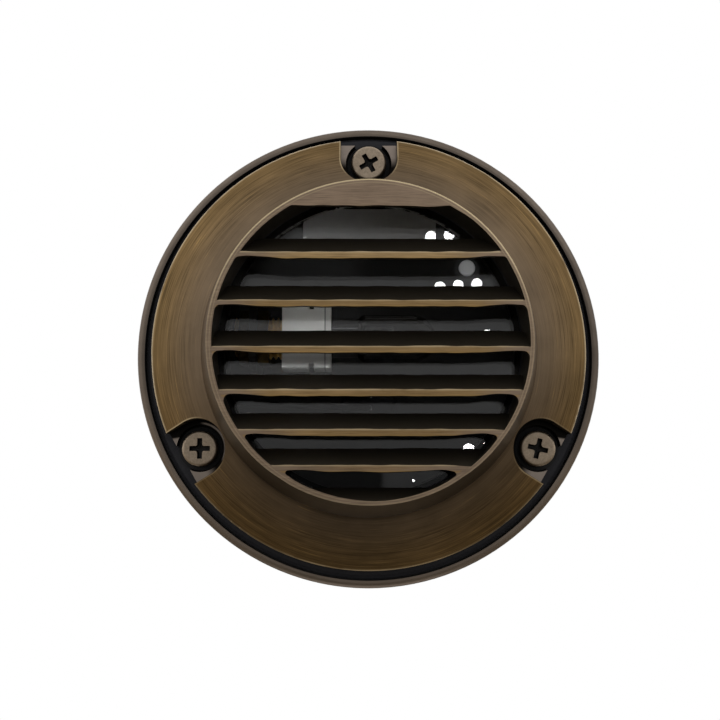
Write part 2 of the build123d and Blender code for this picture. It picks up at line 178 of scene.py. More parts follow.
def boxMm(name):
    low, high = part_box(name)
    return low / mm, high / mm


def mergedCopy(name):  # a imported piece's loose triangles, joined up
    bm = bmesh.new()
    bm.from_mesh(nodes[name].data)
    bmesh.ops.remove_doubles(bm, verts=bm.verts, dist=snap["merge"] * mm)
    return bm


def cutAway(bm, place, way):  # removes what lies beyond a plane
    bmesh.ops.bisect_plane(bm, geom=bm.verts[:] + bm.edges[:] + bm.faces[:], plane_co=place, plane_no=way,
                           clear_outer=True)


def closeHoles(bm):
    bmesh.ops.holes_fill(bm, edges=[edge for edge in bm.edges if edge.is_boundary], sides=0)


def linkObject(name, data):
    made = bpy.data.objects.new(name, data)
    bpy.context.scene.collection.objects.link(made)
    return made


def finishPiece(name, bm, material, body, smoothAngle=35.0, flatFaces=False):
    mesh = bpy.data.meshes.new(name)
    bm.to_mesh(mesh)
    bm.free()
    if "custom_normal" in mesh.attributes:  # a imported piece's own normals no longer fit a copy that was cut
        mesh.attributes.remove(mesh.attributes["custom_normal"])
    mesh.shade_smooth()
    mesh.set_sharp_from_angle(angle=math.radians(smoothAngle))
    mesh.materials.append(material)
    piece = linkObject(name, mesh)
    if flatFaces:  # large flats shade flat right up to their rounded edges
        piece.modifiers.new("flatFaces", "WEIGHTED_NORMAL").keep_sharp = True
    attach(piece, body)
    return piece


# Brushing: rings on the turned faces, straight lines on the louvred front

brush = {"slope": 1.4, "detail": 3.0, "rough": 0.6}  # slope: radius and depth change together on the bevel


def ringBrush(f, pitch, drag):  # fine across the slope, long round the axis
    turn = f.radius.most(0.01)
    across = (f.radius - f.depth) / (pitch * brush["slope"])
    place = f.vector(across, f.x / turn * drag, f.z / turn * drag)
    return f.noise(place, 1.0, brush["detail"], brush["rough"])


def crossBrush(f, pitch, drag):  # lines along X
    place = f.vector(f.x / drag, f.depth / pitch, f.z / pitch)
    return f.noise(place, 1.0, brush["detail"], brush["rough"])


# Louvred cover

coverLow, coverHigh = boxMm("louver_cover")
cover = {
    "edgeRadius": coverHigh.x, "frontDepth": -coverLow.y, "backDepth": -coverHigh.y,
    "crestRadius": 28.5, "grilleRadius": 27.8, "footRadius": 31.3, "edgeDepth": 16.1, "pocketFloor": 14.0,
    "screwCircle": 37.0, "pocketRadius": 5.45, "mouthInset": 0.12, "mouthReach": 0.22,
    "shadowWidth": 2.6, "shadowSlope": 0.4, "arcRadius": 4.8, "arcReach": 0.3,
    # each pocket's angle, which side of it is upper, and the strength of its upper and lower mouth lines,
    # worn lines with a painted highlight that differs by side
    "pockets": ((90, 0, 0.8, 0.8), (210, -1, 1.0, 0.4), (330, 1, 0.25, 1.0)),
    "plateEdge": 24.0, "barCount": 6, "barHeight": 1.15, "firstPitch": 9.48, "pitchStep": 0.66,
    "bevelInner": rgb(0.165, 0.118, 0.075), "bevelOuter": rgb(0.19, 0.12, 0.05),
    "front": rgb(0.305, 0.222, 0.155), "bar": rgb(0.33, 0.215, 0.098), "topBar": rgb(0.43, 0.29, 0.14),
    "worn": rgb(0.72, 0.57, 0.35), "gold": rgb(0.42, 0.26, 0.085), "crestHighlight": rgb(0.95, 0.77, 0.47),
    "sootAndShade": rgb(0.006, 0.005, 0.004), "inside": rgb(0.068, 0.056, 0.04), "floor": rgb(0.36, 0.3, 0.255),
    "finePitch": 0.16, "broadPitch": 0.7, "linePitch": 0.15, "mottleScale": 0.14,
    "streak": 2.7, "frontStreak": 0.12, "mottle": 0.6, "scratch": 0.8, "coveShade": 0.5,
    "mouthWearAndHighlight": 0.7, "rubbedSlot": 0.3, "rubbedBar": 0.8, "goldLine": 0.6,
    "metal": 0.94, "roughness": 0.36, "bump": 0.012,
}
# how the casting strays from the drawing: a fuller crest, bars a little off, slot corners filed upwards
casting = {
    "crestGrowth": 0.36, "growthStart": 20.5, "growthBand": 1.8, "grilleDepth": 5.3, "plate": 1.5,
    "barShift": (0.0, -0.02, 0.2, 0.17, 0.05, -0.05, -0.08, 0.0), "wave": 0.12, "waveX": 0.3, "waveZ": 0.5,
    "cornerLift": 0.4, "liftBelow": 2.0, "liftPeak": 2.6, "liftReach": 9.0, "bladeLift": 0.45,
    "shortLeft": 0.8, "plateDrop": 0.3, "cutStep": 0.9, "cutSnap": 0.0001,
}
blade = {"rise": 2.2, "run": 5.0, "thickness": 0.6, "lap": 0.1, "lean": 0.02, "columns": 48, "rows": 8}
cover["crestEdge"] = cover["crestRadius"] + casting["crestGrowth"]
cover["slotWall"] = cover["grilleRadius"] + casting["crestGrowth"]


def slotTops():  # the plate's lower edge, then each bar's, as drawn
    tops = [cover["plateEdge"]]
    for bar in range(cover["barCount"]):
        tops.append(tops[-1] - cover["firstPitch"] + bar * cover["pitchStep"])
    return tops


def step(value, low, high):  # the same smooth step as Val.rise, for plain numbers
    share = min(max((value - low) / (high - low), 0.0), 1.0)
    return share * share * (3 - 2 * share)


def barShift(z):  # bars' shift between one drawn edge and the next
    tops = slotTops() + [-cover["crestRadius"]]
    for index, (high, low) in enumerate(zip(tops, tops[1:])):
        if low <= z <= high:
            share = (high - z) / (high - low)
            return casting["barShift"][index] * (1 - share) + casting["barShift"][index + 1] * share
    return 0.0


def cornerLift(x, z):  # slots' upper edges rise towards both ends
    lift = 0.0
    below, peak = casting["liftBelow"], casting["liftPeak"]
    for top in slotTops()[1:]:
        near = step(z, top - below, top) * step(z, top + cover["barHeight"], top)
        inset = math.sqrt(cover["grilleRadius"] ** 2 - top ** 2) - abs(x)
        ends = step(inset, -below, peak) * step(inset, casting["liftReach"], peak)
        lift = max(lift, near * ends)
    return lift * casting["cornerLift"]


def strayed(place):  # millimetres
    x, depth, z = place.x, -place.y, place.z
    radius = math.hypot(x, z)
    grille, front = cover["grilleRadius"], cover["frontDepth"]
    up = 0.0
    if depth > front - casting["grilleDepth"]:
        within = step(radius, grille + 0.3, grille - 0.6)
        wave = casting["wave"] * noise.noise(Vector((x * casting["waveX"], z * casting["waveZ"], 0)))
        up = within * (barShift(z) + wave)
        back = front - casting["plate"] - depth
        if back < 0:
            up += cornerLift(x, z)
        else:  # blades are steeper in the upper slots
            share = back / (casting["grilleDepth"] - casting["plate"])
            up += within * casting["bladeLift"] * step(z, -6.0, 4.0) * share
        if radius < grille + 0.35:  # the plate's right corner is left full
            up -= casting["plateDrop"] * step(x, 5.0, 13.0) * step(z, 21.0, 23.5)
    inner = grille - casting["growthBand"]
    if radius > inner and depth > casting["growthStart"]:
        share = (depth - casting["growthStart"]) / (front - casting["growthStart"])
        grow = casting["crestGrowth"] * share * step(radius, inner, grille)
        if radius < grille + 0.2:  # slots end a little shorter on the left
            grow *= 1 - casting["shortLeft"] * step(x, 5.0, -10.0)
        x, z = x * (1 + grow / radius), z * (1 + grow / radius)
    return Vector((x, -depth, z + up))


def lowestBlade(bm):  # the blade that rises behind the bottom of the crest
    wall = cover["slotWall"]
    start = blade["lap"] - wall
    top = start + blade["rise"]
    half = math.sqrt(wall ** 2 - top ** 2)
    grid = bmesh.ops.create_grid(bm, x_segments=blade["columns"], y_segments=blade["rows"], size=1.0)
    for vert in grid["verts"]:
        x = vert.co.x * half
        low = -math.sqrt(wall ** 2 - x ** 2)
        z = low + (top - low) * (vert.co.y + 1) / 2
        depth = min(cover["frontDepth"], cover["frontDepth"] - (z - start) / blade["rise"] * blade["run"])
        vert.co = Vector((x, -depth, z)) * mm
    faces = list({face for vert in grid["verts"] for face in vert.link_faces})
    under = bmesh.ops.extrude_face_region(bm, geom=faces, use_keep_orig=True)
    below = [item for item in under["geom"] if isinstance(item, bmesh.types.BMVert)]
    bmesh.ops.translate(bm, vec=(0, blade["lean"] * mm, -blade["thickness"] * mm), verts=below)


def castCover():
    bm = mergedCopy("louver_cover")
    inner = (cover["grilleRadius"] + 0.5) * mm
    behind = -(cover["frontDepth"] - casting["grilleDepth"]) * mm
    grille = [face for face in bm.faces
              if all(vert.co.y < behind and math.hypot(vert.co.x, vert.co.z) < inner for vert in face.verts)]
    cut = list({part for face in grille for part in (face, *face.verts, *face.edges)})
    for column in range(int(2 * cover["grilleRadius"] / casting["cutStep"])):
        x = (column + 0.5) * casting["cutStep"] - cover["grilleRadius"]
        cut = bmesh.ops.bisect_plane(bm, geom=cut, dist=casting["cutSnap"] * mm, plane_co=(x * mm, 0, 0),
                                     plane_no=(1, 0, 0))["geom"]
    for vert in bm.verts:
        vert.co = strayed(vert.co / mm) * mm
    lowestBlade(bm)
    bmesh.ops.recalc_face_normals(bm, faces=bm.faces)
    return bm


def pocketMasks(f):  # inside the three screw pockets, the worn line round their mouths with a painted highlight, and the floor left out of the painted shadow
    pocket = mouth = floorOutOfShadow = None
    radius = cover["pocketRadius"]
    for angle, upperSide, upperLine, lowerLine in cover["pockets"]:
        cosine = math.cos(math.radians(angle))
        sine = math.sin(math.radians(angle))
        along = f.x * cosine + f.z * sine - cover["screwCircle"]
        across = f.z * cosine - f.x * sine
        inward = along.least(0.0)
        reach = (inward * inward + across * across) ** 0.5
        ahead = along.rise(-7.0, -6.0)
        inner = reach.rise(radius + 0.06, radius - 0.02) * ahead
        line = reach.near(radius + cover["mouthInset"], cover["mouthReach"]) * ahead * along.rise(-4.5, -1.0)
        # painted highlight: the mouth line's strength set by side
        line = line * (lowerLine + (across * upperSide).rise(-2.0, 2.0) * (upperLine - lowerLine))
        outOfShadow = inner * along.rise(-1.0, 1.5)
        if upperSide:  # the upper wall's shadow on the floor, wider towards the screw
            shadow = across * upperSide - (radius - cover["shadowWidth"]) - along * cover["shadowSlope"]
            outOfShadow = outOfShadow * shadow.rise(0.15, -0.35)
        if upperSide < 0:  # a painted highlight: a lighter arc of floor beside the left screw
            arc = reach.near(cover["arcRadius"], cover["arcReach"]) * along.rise(-2.2, -3.4)
            outOfShadow = outOfShadow.most(inner * arc)
        pocket, mouth, floorOutOfShadow = either(pocket, inner), either(mouth, line), either(floorOutOfShadow, outOfShadow)
    return pocket, mouth, floorOutOfShadow


def barLines(f):  # upper and lower edges of the louvre bars
    upper = lower = None
    for top in slotTops()[1:]:
        edge = top + barShift(top)
        upper = either(upper, f.z.near(edge + cover["barHeight"], 0.3))
        lower = either(lower, f.z.near(edge, 0.35))
    return upper, lower


def coverBronze():
    f = Finish("coverBronze")
    front, back, edge = cover["frontDepth"], cover["backDepth"], cover["edgeRadius"]
    wall, crestEdge, pocketDepth = cover["slotWall"], cover["crestEdge"], cover["pocketFloor"]

    onFront = f.depth.rise(front - 0.1, front - 0.03)
    inside = f.radius.rise(wall + 0.15, wall + 0.05) * (1 - onFront)
    onBars = onFront * f.z.rise(cover["plateEdge"] + 0.1, cover["plateEdge"] - 0.1) * f.radius.rise(
        cover["grilleRadius"] + 0.1, cover["grilleRadius"] - 0.1)
    crest = f.depth.rise(front - 0.3, front - 0.2) * f.radius.rise(crestEdge - 0.3, crestEdge - 0.2)
    crest = crest * (0.15 + f.z.rise(0.0, 18.0) * 0.55)  # painted highlight on the worn crest edge, bright at the top, dull at the bottom
    slotRim = onFront * f.radius.near(wall + 0.05, 0.15)
    coverEdge = f.radius.near(edge - 0.15, 0.4) * f.depth.near(cover["edgeDepth"] - 0.15, 0.6)
    shadedSideWall = f.radius.rise(edge - 0.12, edge - 0.02) * (1 - coverEdge)
    pocket, mouth, floorOutOfShadow = pocketMasks(f)
    mouth = mouth * f.depth.rise(pocketDepth + 1.0, pocketDepth + 1.5) * (1 - pocket)
    pocketWall = pocket * f.depth.rise(pocketDepth + 0.1, pocketDepth + 0.4)
    pocketFloor = pocket * f.depth.rise(pocketDepth + 0.3, pocketDepth + 0.1)
    pocketFloor = pocketFloor * f.depth.rise(back + 0.05, back + 0.15)  # stops short of the back face
    floorOutOfShadow = floorOutOfShadow * f.depth.rise(pocketDepth - 0.25, pocketDepth - 0.1)
    upper, lower = barLines(f)

    fine = ringBrush(f, cover["finePitch"], 4.5)
    broad = ringBrush(f, cover["broadPitch"], 1.6)
    lines = crossBrush(f, cover["linePitch"], 4.0)
    mottle = f.noise(f.spot, cover["mottleScale"], 4.0, 0.55)
    rings = fine * 0.7 + broad * 0.3
    streak = rings + (lines - rings) * onFront
    brushed = 0.4 + f.radius.rise(33.0, 37.0) * 0.6  # plainer towards the foot of the boss
    grain = (streak - 0.5) * (brushed * cover["streak"] + onFront * cover["frontStreak"])
    scratch = fine.rise(0.62, 0.72) * broad.rise(0.45, 0.6) * (1 - onFront) * brushed * cover["scratch"]
    # painted shade on the foot of the boss, towards the bottom
    cove = f.radius.rise(cover["footRadius"] + 1.2, cover["footRadius"] - 0.4)
    cove = cove * f.z.rise(-8.0, -26.0) * (1 - onFront)

    tone = f.mix(f.radius.rise(cover["footRadius"], edge), cover["bevelInner"], cover["bevelOuter"])
    tone = f.mix(onFront, tone, cover["front"])
    barTone = f.mix(f.z.rise(9.0, 14.0), cover["bar"], cover["topBar"])
    tone = f.mix(onBars * f.radius.rise(27.0, 19.0), tone, barTone)
    tone = f.shade(tone, 1.0 + grain + (mottle - 0.5) * cover["mottle"])
    tone = f.shade(tone, 1 - cove * cover["coveShade"])
    tone = f.mix(scratch, tone, cover["gold"])
    # pocket floors: painted shadow, except where they are out of it
    tone = f.mix(pocketFloor, tone, f.mix(floorOutOfShadow, cover["sootAndShade"], cover["floor"]))
    # pocket walls darkened: patina and painted shade
    tone = f.mix(pocketWall, tone, cover["sootAndShade"])
    # painted shade on the cover's outer side wall
    tone = f.mix(shadedSideWall * 0.9, tone, cover["sootAndShade"])
    tone = f.mix(inside, tone, cover["inside"])
    # worn edges with painted highlights: the outer edge lit more away from the bottom, the pocket mouths more
    # on one side
    wearAndHighlight = coverEdge * (0.25 + f.z.rise(-36.0, -24.0) * 0.35)
    wearAndHighlight = wearAndHighlight.most(mouth * cover["mouthWearAndHighlight"]).most(slotRim * cover["rubbedSlot"])
    wearAndHighlight = wearAndHighlight.most(onBars * upper * cover["rubbedBar"]) * mottle.rise(0.25, 0.45)
    tone = f.mix(wearAndHighlight, tone, cover["worn"])
    tone = f.mix(onBars * lower * cover["goldLine"], tone, cover["gold"])
    tone = f.mix(crest, tone, cover["crestHighlight"])
    rough = cover["roughness"] + (streak - 0.5) * 0.25 + inside * 0.2 + pocketWall * 0.5 - crest * 0.08
    return f.close(f.surface({
        "Base Color": tone, "Metallic": cover["metal"], "Roughness": rough,
        "Normal": f.bump(streak * (1 - inside), cover["bump"], 0.7)}))


castPiece = finishPiece("cast_cover", castCover(), coverBronze(), "cover", flatFaces=True)
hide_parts("louver_cover")
print("cover cast")


# Base housing: turned rim outside, black inside

baseLow, baseHigh = boxMm("base_housing")
base = {
    "rimRadius": baseHigh.x, "rimInner": 43.45, "rimDepth": -baseLow.y,
    "rim": rgb(0.17, 0.134, 0.106), "worn": rgb(0.28, 0.235, 0.19), "inside": rgb(0.018, 0.0175, 0.018),
    "level": 0.95, "paintedLightBelow": 0.6, "paintedShadeRight": 0.25, "turnedPitch": 0.1, "mottleScale": 0.2,
    "metal": 0.9, "roughness": 0.42,
}


def baseBronze():
    f = Finish("baseBronze")
    inside = f.radius.rise(base["rimInner"] + 0.1, base["rimInner"] - 0.02) * f.depth.rise(1.0, 2.0)
    turned = f.noise(f.vector(f.depth / base["turnedPitch"], f.x * 0.03, f.z * 0.03), 1.0, 3.0, 0.6)
    mottle = f.noise(f.spot, base["mottleScale"], 4.0, 0.55)
    edge = f.radius.near(base["rimRadius"] - 0.9, 0.8)
    edge = edge * f.depth.rise(base["rimDepth"] - 0.5, base["rimDepth"])
    # painted light: the rim lighter towards the bottom and darker at the far right
    level = base["level"] + f.z.rise(0.0, -28.0) * base["paintedLightBelow"]
    level = level - f.x.rise(36.0, 45.0) * base["paintedShadeRight"]
    tone = f.shade(base["rim"], level + (turned - 0.5) * 0.8 + (mottle - 0.5) * 0.5)
    tone = f.mix(edge * mottle * 0.6, tone, base["worn"])
    tone = f.mix(inside, tone, base["inside"])
    rough = base["roughness"] + (turned - 0.5) * 0.2 + inside * 0.2
    return f.close(f.surface({
        "Base Color": tone, "Metallic": base["metal"] * (1 - inside), "Roughness": rough,
        "Normal": f.bump(turned, 0.01, 0.6)}))


dress(baseBronze(), "base_housing")
print("base dressed")


# Rubber, metal, ceramic and glass of the smaller pieces

def rubber(name, colour, dusty):
    f = Finish(name)
    grain = f.noise(f.spot, 2.2, 5.0, 0.6)
    dust = f.noise(f.spot, 0.35, 3.0, 0.6).rise(0.5, 0.75)
    tone = f.mix(dust * dusty, colour, rgb(0.07, 0.068, 0.065))
    return f.close(f.surface({
        "Base Color": tone, "Roughness": 0.6 + (grain - 0.5) * 0.3, "Specular IOR Level": 0.25,
        "Normal": f.bump(grain, 0.05, 0.6)}))


def cloudedMetal(name, light, dark, metal, roughness, scale=0.6):
    f = Finish(name)
    cloud = f.noise(f.spot, scale, 4.0, 0.6)
    fine = f.noise(f.spot, scale * 9, 3.0, 0.6)
    tone = f.mix(cloud.rise(0.35, 0.7), light, dark)
    return f.close(f.surface({
        "Base Color": tone, "Metallic": metal, "Roughness": roughness + (fine - 0.5) * 0.3,
        "Normal": f.bump(fine, 0.02, 0.5)}))


lampHolder = {
    "dark": rgb(0.86, 0.845, 0.81), "light": rgb(0.94, 0.93, 0.91), "speck": rgb(0.35, 0.32, 0.28),
    "grooveX": boxMm("lamp_socket")[1].x - 1.1, "grooveReach": 0.22, "grooveShade": 0.75, "paintedShadeBelow": 0.5,
}


def ceramic():
    f = Finish("whiteCeramic")
    cloud = f.noise(f.spot, 0.5, 4.0, 0.6)
    speck = f.noise(f.spot, 3.0, 2.0, 0.5).rise(0.68, 0.74)
    tone = f.mix(cloud, lampHolder["dark"], lampHolder["light"])
    tone = f.mix(speck * 0.5, tone, lampHolder["speck"])
    groove = f.x.near(lampHolder["grooveX"], lampHolder["grooveReach"]) * lampHolder["grooveShade"]
    # painted shade on the holder's lower part
    lower = f.z.rise(1.0, -1.8) * lampHolder["paintedShadeBelow"]
    tone = f.shade(tone, (1 - groove) * (1 - lower))
    return f.close(f.surface({
        "Base Color": tone, "Roughness": 0.35 + (cloud - 0.5) * 0.2, "Normal": f.bump(cloud, 0.05, 0.5)}))


def clearGlass(name, tint, through):
    f = Finish(name)
    smear = f.noise(f.spot, 0.12, 4.0, 0.6)
    glass = f.surface({
        "Base Color": tint, "Roughness": smear.rise(0.5, 0.8) * 0.03, "Transmission Weight": 1.0, "IOR": 1.5})
    clear = f.node("ShaderNodeBsdfTransparent", inputs={"Color": through})
    shadow = f.node("ShaderNodeLightPath", out="Is Shadow Ray")
    return f.close(f.node("ShaderNodeMixShader", inputs={0: shadow, 1: glass, 2: clear}))


retainer = {"innerRadius": 26.9, "highlightBand": 0.25, "dark": rgb(0.012, 0.012, 0.012),
            "bright": rgb(0.95, 0.95, 0.93)}


def phosphateSpring():  # dark ring with a patchy painted highlight on its inner edge at the top
    f = Finish("phosphateSpring")
    patch = f.noise(f.spot, 0.5, 4.0, 0.6)
    # painted highlight on the inner edge, only near the top
    edge = f.radius.rise(retainer["innerRadius"] + retainer["highlightBand"], retainer["innerRadius"])
    edge = edge * patch.rise(0.36, 0.5) * f.z.rise(17.0, 22.0)
    tone = f.mix(edge, retainer["dark"], retainer["bright"])
    return f.close(f.surface({
        "Base Color": tone, "Metallic": 0.8, "Roughness": 0.45 + (patch - 0.5) * 0.3,
        "Normal": f.bump(patch, 0.02, 0.5)}))


gasketRubber = rubber("gasketRubber", rgb(0.028, 0.028, 0.034), 0.2)
washerRubber = rubber("washerRubber", rgb(0.014, 0.014, 0.015), 0.1)
leadRubber = rubber("leadRubber", rgb(0.008, 0.008, 0.009), 0.1)
ventPlastic = rubber("ventPlastic", rgb(0.9, 0.9, 0.91), 0.05)
brightBrass = cloudedMetal("brightBrass", rgb(0.95, 0.7, 0.27), rgb(0.75, 0.52, 0.19), 1.0, 0.55)
nutBrass = cloudedMetal("nutBrass", rgb(0.14, 0.095, 0.035), rgb(0.08, 0.055, 0.02), 1.0, 0.35)
bracketBlack = cloudedMetal("bracketBlack", rgb(0.014, 0.014, 0.015), rgb(0.022, 0.021, 0.02), 0.6, 0.5)
pinSteel = cloudedMetal("pinSteel", rgb(0.16, 0.16, 0.165), rgb(0.1, 0.1, 0.105), 1.0, 0.4)
filamentWire = cloudedMetal("filamentWire", rgb(0.2, 0.2, 0.21), rgb(0.12, 0.12, 0.13), 1.0, 0.4)

dress(gasketRubber, "cover_gasket", "lens_gasket", "wire_grommet")
dress(leadRubber, "lead_wire_a", "lead_wire_b")
dress(ventPlastic, "vent_plug")
dress(nutBrass, "nipple_nut_inner", "nipple_nut_outer")
dress(bracketBlack, "socket_bracket", "bracket_screw")
dress(phosphateSpring(), "lens_retaining_ring")
dress(pinSteel, "socket_contacts", "lamp_pins")
dress(ceramic(), "lamp_socket")
dress(clearGlass("lensGlass", rgb(0.985, 0.99, 0.988), rgb(0.85, 0.86, 0.86)), "lens")
dress(clearGlass("lampGlass", rgb(0.98, 0.985, 0.985), rgb(0.9, 0.9, 0.9)), "lamp_capsule")
for name in screwNames:
    dress(washerRubber, "screw_washer_" + name)
print("smaller pieces dressed")


# Threads: a ridge spun up a helix along Z, cut flat at both ends

def spinThread(bm, thread):
    pitch = thread["pitch"]
    ridge = ((thread["core"], 0.0), (thread["core"], 0.2), (thread["crest"], 0.5), (thread["crest"], 0.65),
             (thread["core"], 0.95), (thread["core"], 1.0))  # radius and share of the pitch
    start = [bm.verts.new((radius * mm, 0, (share - 2) * pitch * mm)) for radius, share in ridge]
    edges = [bm.edges.new(pair) for pair in zip(start, start[1:])]
    turns = math.ceil(thread["length"] / pitch) + 3
    bmesh.ops.spin(bm, geom=start + edges, cent=(0, 0, 0), axis=(0, 0, 1), angle=math.tau * turns,
                   dvec=(0, 0, pitch * mm / thread["steps"]), steps=turns * thread["steps"], use_merge=False)
    bmesh.ops.remove_doubles(bm, verts=bm.verts, dist=snap["thread"] * mm)
    for height, way in ((0, -1), (thread["length"], 1)):
        cutAway(bm, (0, 0, height * mm), (0, 0, way))


def endLoop(bm, height):  # open edges at one end of a thread or tube
    return [edge for edge in bm.edges if edge.is_boundary
            and all(abs(vert.co.z - height * mm) < snap["end"] * mm for vert in edge.verts)]


# Lamp holder's nipple, a hollow threaded tube along X

nippleLow, nippleHigh = boxMm("socket_nipple")
nipple = {
    "crest": (nippleHigh.z - nippleLow.z) / 2, "core": 3.5, "bore": 2.6, "pitch": 1.0,
    "length": nippleHigh.x - nippleLow.x, "steps": 32,
}


def threadedNipple():
    bm = bmesh.new()
    spinThread(bm, nipple)
    bore = bmesh.ops.create_cone(
        bm, cap_ends=False, segments=nipple["steps"], depth=nipple["length"] * mm,
        radius1=nipple["bore"] * mm, radius2=nipple["bore"] * mm)
    bmesh.ops.translate(bm, vec=(0, 0, nipple["length"] / 2 * mm), verts=bore["verts"])
    for height in (0, nipple["length"]):
        bmesh.ops.bridge_loops(bm, edges=endLoop(bm, height))
    bmesh.ops.recalc_face_normals(bm, faces=bm.faces)
    centre = (nippleLow + nippleHigh) / 2
    place = Matrix.Translation(Vector((nippleLow.x, centre.y, centre.z)) * mm)
    bmesh.ops.transform(bm, matrix=place @ Matrix.Rotation(math.radians(90), 4, "Y"), verts=bm.verts)
    return bm


nipplePiece = finishPiece("threaded_nipple", threadedNipple(), brightBrass, "base")
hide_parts("socket_nipple")
print("nipple threaded")


# Cover screws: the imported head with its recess, on a threaded shank

screw = {
    "crest": 1.75, "core": 1.36, "pitch": 0.794, "neck": 0.3, "overlap": 0.05, "steps": 20,
    "recessReach": 2.3, "recessLip": 0.2, "recessCorner": 0.9, "recessRound": 0.35,
    "turns": {"top": 0.0, "left": 0.0, "right": 27.0},  # degrees
    "light": rgb(0.43, 0.345, 0.255), "dark": rgb(0.385, 0.305, 0.225), "sootAndShade": rgb(0.014, 0.012, 0.01),
    "metal": 0.92, "roughness": 0.42,
}


def screwBronze():
    f = Finish("screwBronze")
    headTop = -boxMm("cover_screw_top")[0].y
    seat = -boxMm("screw_washer_top")[0].y
    reach = None
    for name in screwNames:
        low, high = boxMm("cover_screw_" + name)
        across = f.x - (low.x + high.x) / 2
        along = f.z - (low.z + high.z) / 2
        gap = (across * across + along * along) ** 0.5
        reach = reach.least(gap) if reach else gap
    recess = reach.rise(screw["recessReach"], screw["recessReach"] - 0.1) * f.depth.rise(
        headTop - 0.05, headTop - screw["recessLip"]) * f.depth.rise(seat + 0.1, seat + 0.3)
    cloud = f.noise(f.spot, 0.7, 4.0, 0.6)
    grain = f.noise(f.spot, 2.6, 4.0, 0.65)
    tone = f.mix(cloud.rise(0.35, 0.7), screw["light"], screw["dark"])
    tone = f.shade(tone, 1.0 + (grain - 0.5) * 1.1)
    # darkened inside the cross recess: soot and painted shade
    tone = f.mix(recess, tone, screw["sootAndShade"])
    return f.close(f.surface({
        "Base Color": tone, "Metallic": screw["metal"] - recess * 0.7,
        "Roughness": screw["roughness"] + (grain - 0.5) * 0.3 + recess * 0.2,
        "Normal": f.bump(grain, 0.02, 0.6)}))


def screwHead(name, centre, seat):
    head = mergedCopy("cover_screw_" + name)
    cutAway(head, (0, seat * mm, 0), (0, 1, 0))
    closeHoles(head)
    turned = Matrix.Rotation(math.radians(screw["turns"][name]), 3, "Y")
    bmesh.ops.rotate(head, cent=centre * mm, matrix=turned, verts=head.verts)
    corners = []
    for edge in head.edges:  # the cross widens at its middle
        first, second = [vert.co for vert in edge.verts]
        gap = math.hypot(*((first + second) / 2 - centre * mm).xz) / mm
        if gap < screw["recessCorner"] and abs(first.y - second.y) > screw["recessLip"] * mm:
            corners.append(edge)
    bmesh.ops.bevel(head, geom=corners, offset=screw["recessRound"] * mm, offset_type="OFFSET", segments=3,
                    profile=0.5, affect="EDGES", material=-1)
    return head


def threadedScrew(name):
    low, high = boxMm("cover_screw_" + name)
    seat = boxMm("screw_washer_" + name)[0].y + screw["neck"]  # just behind the head
    centre = Vector(((low.x + high.x) / 2, 0, (low.z + high.z) / 2))
    head = screwHead(name, centre, seat)
    shank = bmesh.new()
    thread = dict(screw, length=high.y - seat + screw["overlap"])
    spinThread(shank, thread)
    for height in (0, thread["length"]):
        bmesh.ops.holes_fill(shank, edges=endLoop(shank, height), sides=0)
    bmesh.ops.recalc_face_normals(shank, faces=shank.faces)
    place = Matrix.Translation(Vector((centre.x, high.y, centre.z)) * mm)
    bmesh.ops.transform(shank, matrix=place @ Matrix.Rotation(math.radians(90), 4, "X"), verts=shank.verts)
    joined = bpy.data.meshes.new("shank")
    shank.to_mesh(joined)
    shank.free()
    head.from_mesh(joined)
    bpy.data.meshes.remove(joined)
    return head


bronze = screwBronze()
for name in screwNames:
    screwPiece = finishPiece("threaded_screw_" + name, threadedScrew(name), bronze, "screw_" + name,
                             flatFaces=True)
    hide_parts("cover_screw_" + name)
print("screws threaded")


# Filament: a fine coil between the lamp's pins

coilLow, coilHigh = boxMm("lamp_filament")
coil = {"wire": 0.07, "turns": 12, "steps": 20, "sides": 8, "reach": 0.05}


def filamentCoil():
    bm = bmesh.new()
    radius = (coilHigh.x - coilLow.x) / 2 - coil["wire"]
    length = coilHigh.z - coilLow.z + 2 * coil["reach"]
    centre = (coilLow + coilHigh) / 2
    bmesh.ops.create_circle(bm, cap_ends=False, segments=coil["sides"], radius=coil["wire"] * mm)
    bmesh.ops.rotate(bm, cent=(0, 0, 0), matrix=Matrix.Rotation(math.radians(90), 3, "X"), verts=bm.verts)
    bmesh.ops.translate(bm, vec=(radius * mm, 0, -length / 2 * mm), verts=bm.verts)
    steps = coil["turns"] * coil["steps"]
    bmesh.ops.spin(bm, geom=bm.verts[:] + bm.edges[:], cent=(0, 0, 0), axis=(0, 0, 1), steps=steps,
                   angle=math.tau * coil["turns"], dvec=(0, 0, length * mm / steps), use_merge=False)
    closeHoles(bm)
    bmesh.ops.recalc_face_normals(bm, faces=bm.faces)
    bmesh.ops.translate(bm, vec=centre * mm, verts=bm.verts)
    return bm


coilPiece = finishPiece("filament_coil", filamentCoil(), filamentWire, "lamp")
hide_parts("lamp_filament")
print("filament wound")


# Blank label on the back wall, its upper corners cut to the round wall

label = {
    "left": -13.2, "right": 13.8, "low": 21.9, "high": 30.4, "thickness": 0.12, "cut": 3.2, "wall": 3.0,
    "light": rgb(0.86, 0.86, 0.86), "dark": rgb(0.78, 0.78, 0.78),
}


